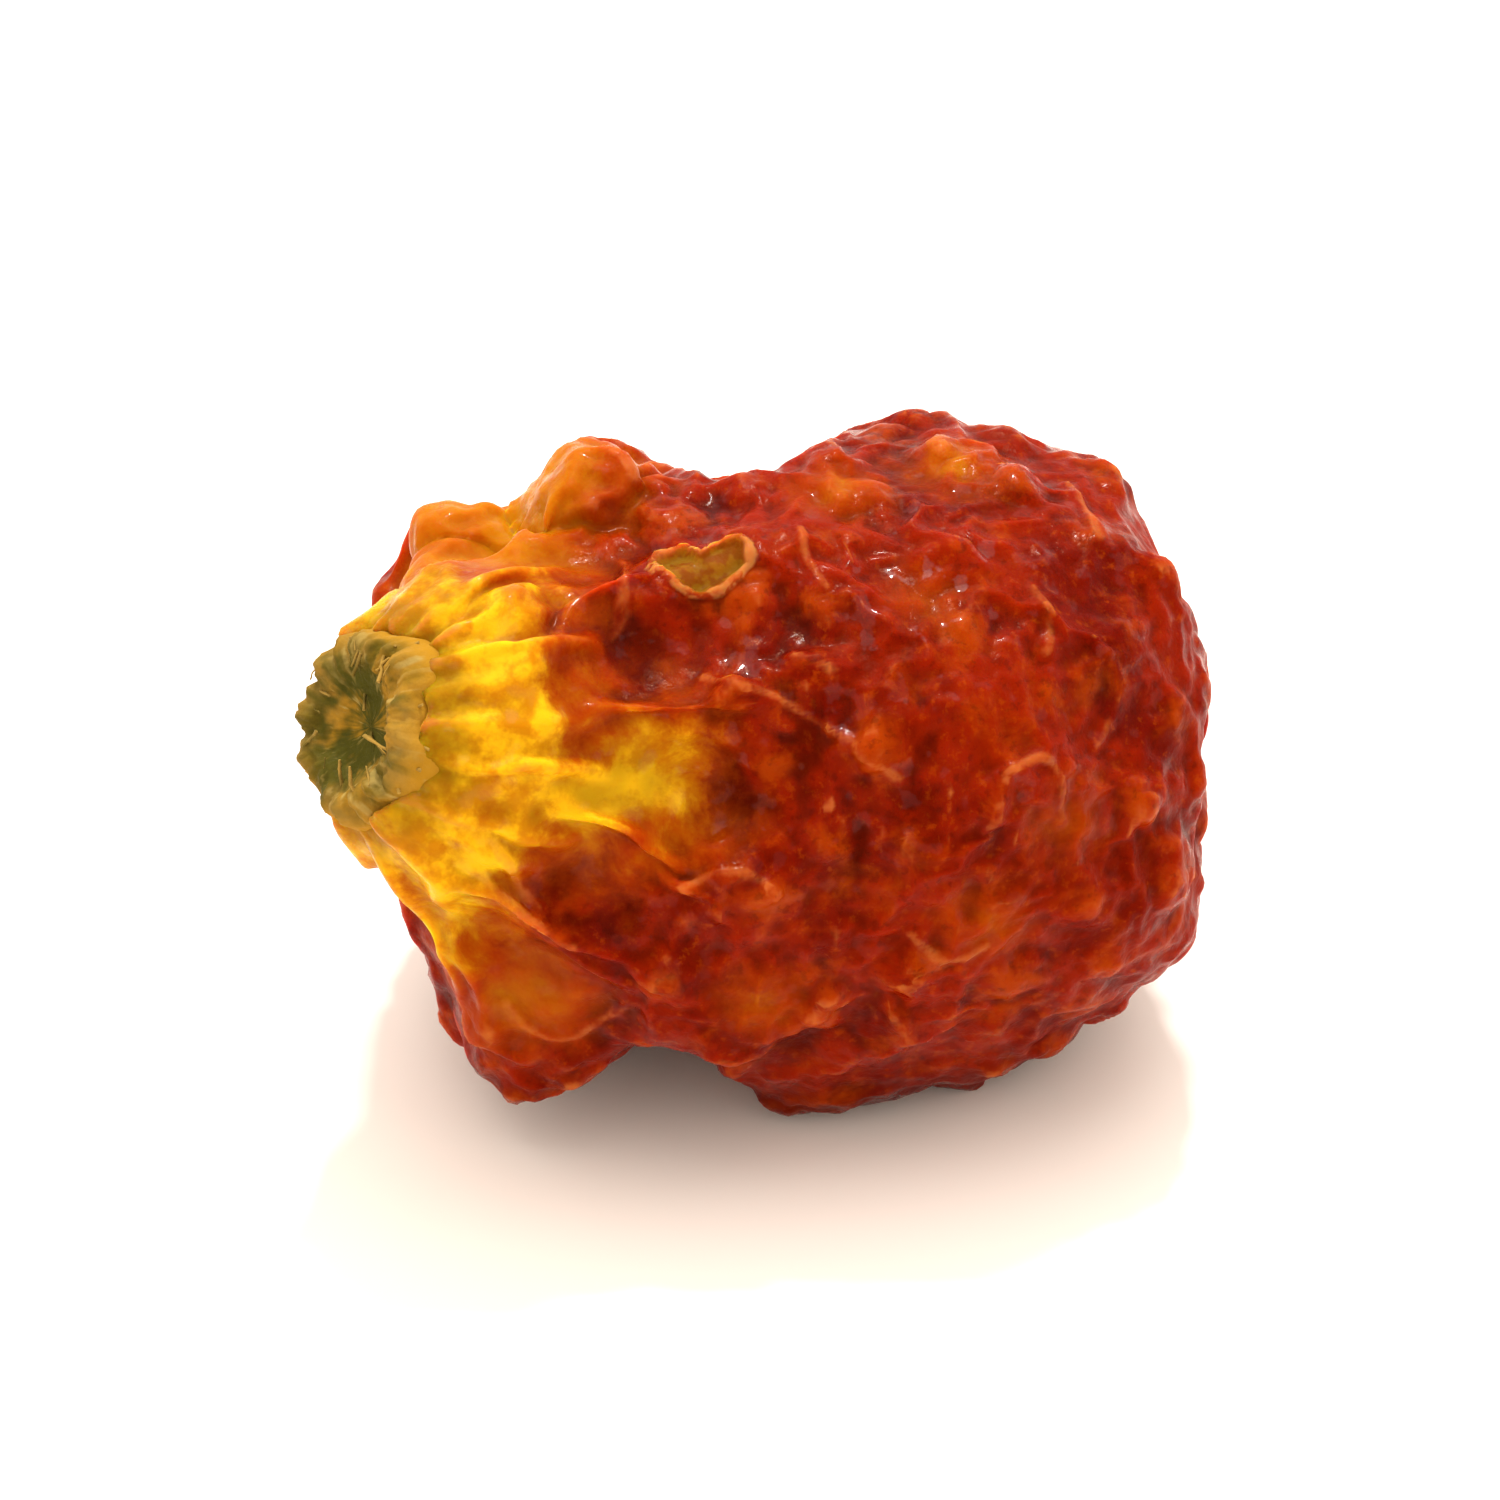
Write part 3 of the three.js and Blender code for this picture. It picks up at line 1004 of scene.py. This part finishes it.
def skin_paint(settings, orange_spots, syrup_place):
    """Glossy, half clear skin: red orange, yellow round the stalk, pale on its crests, partly as
    dry skin and partly as a painted highlight, with painted glow and painted shade.
    """
    paint = Paint("fruit_skin")
    smooth, mix, noise = paint.smooth, paint.mix, paint.noise
    place = paint.place()
    cloud = noise(place, 1.9 * MM, 4.0, 0.65, 0.4)
    mottle = noise(place, 0.8 * MM, 4.0, 0.65, 4.8)
    # Painted shade: how deep a place lies in the folds and the broad hollows
    hollow_shade = smooth(paint.stored("crest") + paint.stored("swell") * 0.8, -0.1, -1.5)
    dry_and_highlight = dry_and_highlight_lines(paint, cloud, mottle)
    colour = flesh_colour(paint, settings, cloud, hollow_shade)
    colour = add_yellow(paint, settings, colour, cloud, mottle, hollow_shade, orange_spots)
    # Pale dry crests and crease lines, partly a painted highlight
    colour = mix(dry_and_highlight, colour, settings.crest)

    # The scar: a light rim round mottled olive
    scar_distance = paint.stored("scar_distance")
    inside = smooth(scar_distance, 1.1, 0.75)
    rim = smooth((scar_distance - 1.1).maths("ABSOLUTE"), 0.3, 0.05)
    speckle = smooth(noise(place, 0.28 * MM, 2.0, 0.6, 1.7), 0.42, 0.58)
    colour = mix(inside * 0.8, colour, mix(speckle * 0.5, settings.olive, settings.deep_flesh))
    colour = mix(rim * smooth(speckle, -0.3, 0.9) * 0.7, colour, settings.scar)

    # Wet patches, and small spots of syrup on the top
    wet = smooth(noise(place, 0.9 * MM, 2.0, 0.5, 6.6), 0.42, 0.58)
    syrup = smooth(noise(place, 0.45 * MM, 2.0, 0.5, 4.4), 0.59, 0.64) * (1 - inside)
    top = smooth(paint.parts(place)[2], 6 * MM, 9 * MM, 0.08, 0.2)
    near = smooth(paint.distance(place, tuple(syrup_place)), 2.4 * MM, 0.8 * MM, 0.0, 0.7)
    grain = noise(place, 0.12 * MM, 3.0, 0.6, 2.2)
    pore = noise(place, 0.35 * MM, 2.0, 0.5, 7.2)
    return paint.finish({
        "Base Color": colour,
        "Roughness": 0.42 - wet * (1 - inside) * 0.24 + dry_and_highlight * 0.3,
        "Normal": paint.bump(grain * 0.5 + pore, 0.05 * MM),
        "Coat Weight": wet * 0.03 + syrup * top.maths("MAXIMUM", near),
        "Coat Roughness": 0.07,
        "Subsurface Weight": 0.55,
        "Subsurface Scale": 1.2 * MM,
        "Subsurface Radius": (1.0, 0.22, 0.03),
        "Specular IOR Level": 0.06,
        "Specular Tint": (1.0, 0.42, 0.12, 1.0),
        "IOR": 1.42,
    })


def stub_paint(settings):
    """Dry, fibrous wood: tan strokes over dark olive."""
    paint = Paint("stalk_wood")
    smooth, mix, noise = paint.smooth, paint.mix, paint.noise
    place = paint.place()
    streak = paint.stored("streak")
    colour = mix(smooth(streak, 0.34, 0.6), settings.heart, settings.fibre)
    cloud = noise(place, 0.9 * MM, 3.0, 0.6, 3.9)
    colour = mix(smooth(cloud, 0.45, 0.62, 0.0, 0.6), colour, settings.bark)
    foot = paint.stored("height") + (cloud - 0.5) * 0.7
    colour = mix(smooth(foot, 0.75, 0.4, 0.0, 0.9), colour, settings.bark)
    middle = paint.stored("centre") * smooth(cloud * 0.7 + streak * 0.3, 0.62, 0.46)
    colour = mix(middle, colour, settings.heart)
    fleck = smooth(paint.stored("stroke"), 0.54, 0.66) * smooth(cloud, 0.35, 0.6)
    grain = noise(place, 0.09 * MM, 3.0, 0.65, 5.5)
    return paint.finish({
        "Base Color": mix(fleck * 0.75, colour, settings.pith),
        "Roughness": smooth(grain, 0.3, 0.7, 0.65, 0.95),
        "Normal": paint.bump(grain + streak, 0.03 * MM),
        "Specular IOR Level": 0.1,
    })


def floor_paint(settings):
    return Paint("pale_floor").finish({"Base Color": settings.floor_colour, "Roughness": 0.7})


# Stalk stub


# Outline of the stub from the middle of its base, out, up its side and in over its torn end,
# as shares of its radius and height
STUB_OUTLINE = (
    (0.0, 0.0),
    (0.55, -0.03),
    (0.92, 0.0),
    (1.04, 0.15),
    (1.02, 0.38),
    (0.95, 0.6),
    (0.84, 0.73),
    (0.7, 0.74),
    (0.56, 0.64),
    (0.42, 0.5),
    (0.26, 0.42),
    (0.1, 0.42),
    (0.0, 0.44),
)
STUB_SIDES = 200
STUB_RINGS = 84
OUTLINE_SMOOTHINGS = 6
STUB_CORNERS = 5
STUB_ROUGHNESS = 0.42 * MM

# A strand's root and radius, as shares of its length, its points and sides, and how far it bends
STRAND_ROOT = 0.15
STRAND_RADIUS = 0.07
STRAND_STEPS = 6
STRAND_SIDES = 5
STRAND_BEND = 0.25 * MM


def turned_mesh(name, outline, sides, rings):
    """The outline turned round the stalk's line, closed at both ends."""
    points = np.array(outline)
    along = np.concatenate([[0], np.cumsum(np.linalg.norm(np.diff(points, axis=0), axis=1))])
    steps = np.linspace(0, along[-1], rings + 2)
    radius = np.interp(steps, along, points[:, 0])
    height = np.interp(steps, along, points[:, 1])
    for values in (radius, height):
        for _ in range(OUTLINE_SMOOTHINGS):
            values[1:-1] = (values[:-2] + 2 * values[1:-1] + values[2:]) / 4
    angles = np.arange(sides) * 2 * math.pi / sides
    level, rise, way = (np.array(axis) for axis in (STALK_LEVEL, STALK_RISE, STALK_WAY))
    spoke = np.cos(angles)[:, None] * level + np.sin(angles)[:, None] * rise
    ring = radius[1:-1, None, None] * STUB_RADIUS * spoke + (
        height[1:-1, None, None] * STUB_HEIGHT * way
    )
    ends = height[[0, -1], None] * STUB_HEIGHT * way
    places = np.vstack([ring.reshape(-1, 3), ends]) + np.array(SOCKET)
    faces = []
    last = (rings - 1) * sides
    for side in range(sides):
        following = (side + 1) % sides
        faces.append((following, side, rings * sides))
        faces.append((last + side, last + following, rings * sides + 1))
        for low in range(0, last, sides):
            high = low + sides
            faces.append((low + side, low + following, high + following, high + side))
    mesh = bpy.data.meshes.new(name)
    mesh.from_pydata(places.tolist(), [], faces)
    return mesh


def torn_knob(shape):
    """The knob, with its corners, its relief of fibres and its torn rim."""
    smooth, noise = shape.smooth, shape.noise
    place = shape.place()
    height, radius, outward = shape.stub_parts()
    angle = shape.stalk_angle(place)
    centre = smooth(radius, 1.05, 0.5) * smooth(height, 0.3, 0.4)

    # Fibres run up the side and in over the end, so their noise hardly changes that way
    stroke = shape.joined(angle.maths("COSINE"), angle.maths("SINE"), height * 0.22 + radius * 0.3)
    strokes = noise(stroke, 0.2, 2.0, 0.65, 1.1)
    fine_strokes = noise(stroke, 0.09, 3.0, 0.7, 9.4)
    knob = shape.given("Geometry")
    marks = {"height": height, "centre": centre, "streak": strokes, "stroke": fine_strokes}
    for name, value in marks.items():
        knob = shape.store(knob, name, value)

    uneven = noise(stroke, 0.55, 1.0, 0.5, 4.4) - 0.5
    corners = (angle * STUB_CORNERS + 0.4).maths("COSINE") * 0.05 + uneven * 0.2
    low = smooth(height, 0.0, 0.3)
    knob = shape.move(knob, shape.scaled(outward, corners * low * radius * STUB_RADIUS))
    fibre = ((strokes - 0.5) * 2).maths("ABSOLUTE")
    rough = noise(place, 0.35 * MM, 3.0, 0.6, 2.9) - 0.5
    relief = (0.5 - fibre * 1.6) * shape.given("Fibre Height") + rough * STUB_ROUGHNESS
    knob = shape.push(knob, relief * smooth(height, 0.25, 0.75))
    tear = noise(stroke, 0.24, 1.0, 0.5, 7.0) - 0.42
    torn = smooth(radius, 0.5, 0.85) * smooth(height, 0.4, 0.7)
    lift = shape.scaled(tuple(STALK_WAY), tear * torn * shape.given("Tear Height") * 2)
    return shape.move(knob, lift)


def strand(shape):
    """One strand, as a tapering rod of length 1."""
    sockets = {"Start": (0, 0, -STRAND_ROOT), "End": (0, 0, 1)}
    line = shape.node("GeometryNodeCurvePrimitiveLine", None, sockets)
    sockets = {"Curve": line, "Count": STRAND_STEPS}
    line = shape.node("GeometryNodeResampleCurve", None, sockets)
    along = shape.node("GeometryNodeSplineParameter")
    sockets = {"Curve": line, "Radius": 1 - along * 0.8}
    line = shape.node("GeometryNodeSetCurveRadius", None, sockets)
    sockets = {"Resolution": STRAND_SIDES, "Radius": STRAND_RADIUS}
    section = shape.node("GeometryNodeCurvePrimitiveCircle", None, sockets)
    sockets = {0: line, 1: section, "Fill Caps": True}
    return shape.node("GeometryNodeCurveToMesh", None, sockets)


def loose_strands(shape, knob):
    """Bent strands that stand up from the knob's rim and its end."""
    height, _, outward = shape.stub_parts()
    density = shape.smooth(height, 0.3, 0.6) * shape.given("Strand Density")
    sockets = {"Mesh": knob, "Density": density, "Seed": 11}
    settings = {"distribute_method": "RANDOM"}
    points = shape.node("GeometryNodeDistributePointsOnFaces", settings, sockets)
    normal = Wire(shape, points.socket.node.outputs["Normal"])
    settings = {"data_type": "FLOAT_VECTOR"}
    sockets = {0: (-0.9, -0.9, -0.9), 1: (0.9, 0.9, 0.9), "Seed": 2}
    lean = shape.node("FunctionNodeRandomValue", settings, sockets)
    stand = shape.vector("ADD", shape.vector("ADD", normal, lean), shape.scaled(outward, -2.5))
    turn = shape.node("FunctionNodeAlignRotationToVector", {"axis": "Z"}, {"Vector": stand})
    settings = {"data_type": "FLOAT"}
    long = shape.node("FunctionNodeRandomValue", settings, {2: 0.35, 3: 1.0, "Seed": 6}, out=1)
    sockets = {
        "Points": points,
        "Instance": strand(shape),
        "Rotation": turn,
        "Scale": shape.scaled((1, 1, 1), long * shape.given("Strand Length")),
    }
    strands = shape.node("GeometryNodeInstanceOnPoints", None, sockets)
    strands = shape.node("GeometryNodeRealizeInstances", None, {"Geometry": strands})
    place = shape.place()
    sockets = {"Vector": place, "Scale": 1 / (0.5 * MM)}
    bend = shape.node("ShaderNodeTexNoise", None, sockets, "Color")
    bend = shape.scaled(shape.vector("SUBTRACT", bend, (0.5, 0.5, 0.5)), STRAND_BEND)
    strands = shape.move(strands, bend)
    streak = shape.noise(place, 0.3 * MM, 1.0, 0.5, 3.0) * 0.5 + 0.4
    for name, value in {"streak": streak, "height": 1.0, "stroke": 0.6}.items():
        strands = shape.store(strands, name, value)
    return strands


def stub_tree(values):
    """Makes the knob into a torn stub with loose strands."""
    shape = ShapeWiring("torn_stub", values)
    knob = torn_knob(shape)
    whole = shape.node("GeometryNodeJoinGeometry")
    for geometry in (loose_strands(shape, knob), knob):
        shape.tree.links.new(geometry.socket, whole.socket.node.inputs["Geometry"])
    return shape.finish(whole)


def make_stub(settings):
    values = {
        "Fibre Height": settings.fibre_height,
        "Tear Height": settings.tear_height,
        "Strand Length": settings.strand_length,
        "Strand Density": settings.strand_count / (math.pi * STUB_RADIUS**2),
        "Material": stub_paint(settings),
    }
    knob = turned_mesh("knob", STUB_OUTLINE, STUB_SIDES, STUB_RINGS)
    stub = link_object("stub", bake_shape("stub", knob, stub_tree, values))
    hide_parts("stalk_stub")
    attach(stub, "root")


# Stage


FLOOR_SIZE = 2.0
# Each lamp's name, size in m, power in W and place. Both hang above the berry and point at it.
# The small one is behind it, and gives the wet skin its sparkle.
LAMPS = (
    ("soft", 0.34, 0.65, (-0.03, 0.03, 0.38)),
    ("bright", 0.03, 1.0, (0.03, 0.13, 0.35)),
)


def make_stage(settings):
    bpy.ops.mesh.primitive_plane_add(size=FLOOR_SIZE)
    floor = bpy.context.object
    floor.name = "floor"
    floor.data.materials.append(floor_paint(settings))

    camera = link_object("camera", bpy.data.cameras.new("camera"))
    camera.data.lens = settings.lens
    camera.data.clip_start = 0.005
    camera.data.clip_end = 20
    camera.location = VIEW_POINT
    camera.rotation_euler = (-VIEW_WAY).to_track_quat("-Z", "Y").to_euler()
    bpy.context.scene.camera = camera

    world = bpy.data.worlds.new("studio")
    world.use_nodes = True
    sky = world.node_tree.nodes["Background"]
    sky.inputs["Color"].default_value = settings.sky_colour
    sky.inputs["Strength"].default_value = settings.sky_strength
    bpy.context.scene.world = world
    for name, size, energy, place in LAMPS:
        lamp = bpy.data.lights.new(name, "AREA")
        lamp.size = size
        lamp.energy = energy
        light = link_object(name, lamp)
        light.location = place
        light.rotation_euler = light.location.to_track_quat("Z", "Y").to_euler()
    bpy.context.scene.view_settings.view_transform = "Standard"


# Operators, panel and registration


class MakeFruit(bpy.types.Operator):
    """Make the wrinkled fruit"""

    bl_idname = "goldenberry.make_fruit"
    bl_label = "Make Fruit"

    def execute(self, context):
        make_fruit(context.scene.goldenberry_fruit)
        return {"FINISHED"}


class MakeStub(bpy.types.Operator):
    """Make the stub of the stalk"""

    bl_idname = "goldenberry.make_stub"
    bl_label = "Make Stalk Stub"

    def execute(self, context):
        make_stub(context.scene.goldenberry_stub)
        return {"FINISHED"}


class MakeStage(bpy.types.Operator):
    """Make the floor, the light and the camera"""

    bl_idname = "goldenberry.make_stage"
    bl_label = "Make Stage"

    def execute(self, context):
        make_stage(context.scene.goldenberry_stage)
        return {"FINISHED"}


STEPS = (
    (MakeFruit, FruitSettings, "goldenberry_fruit"),
    (MakeStub, StubSettings, "goldenberry_stub"),
    (MakeStage, StageSettings, "goldenberry_stage"),
)


class GoldenberryPanel(bpy.types.Panel):
    bl_idname = "VIEW3D_PT_goldenberry"
    bl_label = "Dried Goldenberry"
    bl_space_type = "VIEW_3D"
    bl_region_type = "UI"
    bl_category = "Goldenberry"

    def draw(self, context):
        for operator, settings, name in STEPS:
            box = self.layout.box()
            for setting in settings.__annotations__:
                box.prop(getattr(context.scene, name), setting)
            box.operator(operator.bl_idname)


def register():
    for operator, settings, name in STEPS:
        bpy.utils.register_class(settings)
        bpy.utils.register_class(operator)
        setattr(bpy.types.Scene, name, PointerProperty(type=settings))
    bpy.utils.register_class(GoldenberryPanel)


def unregister():
    bpy.utils.unregister_class(GoldenberryPanel)
    for operator, settings, name in STEPS:
        delattr(bpy.types.Scene, name)
        bpy.utils.unregister_class(operator)
        bpy.utils.unregister_class(settings)


def main():
    register()
    bpy.ops.goldenberry.make_fruit()
    bpy.ops.goldenberry.make_stub()
    bpy.ops.goldenberry.make_stage()


if __name__ == "__main__":
    main()
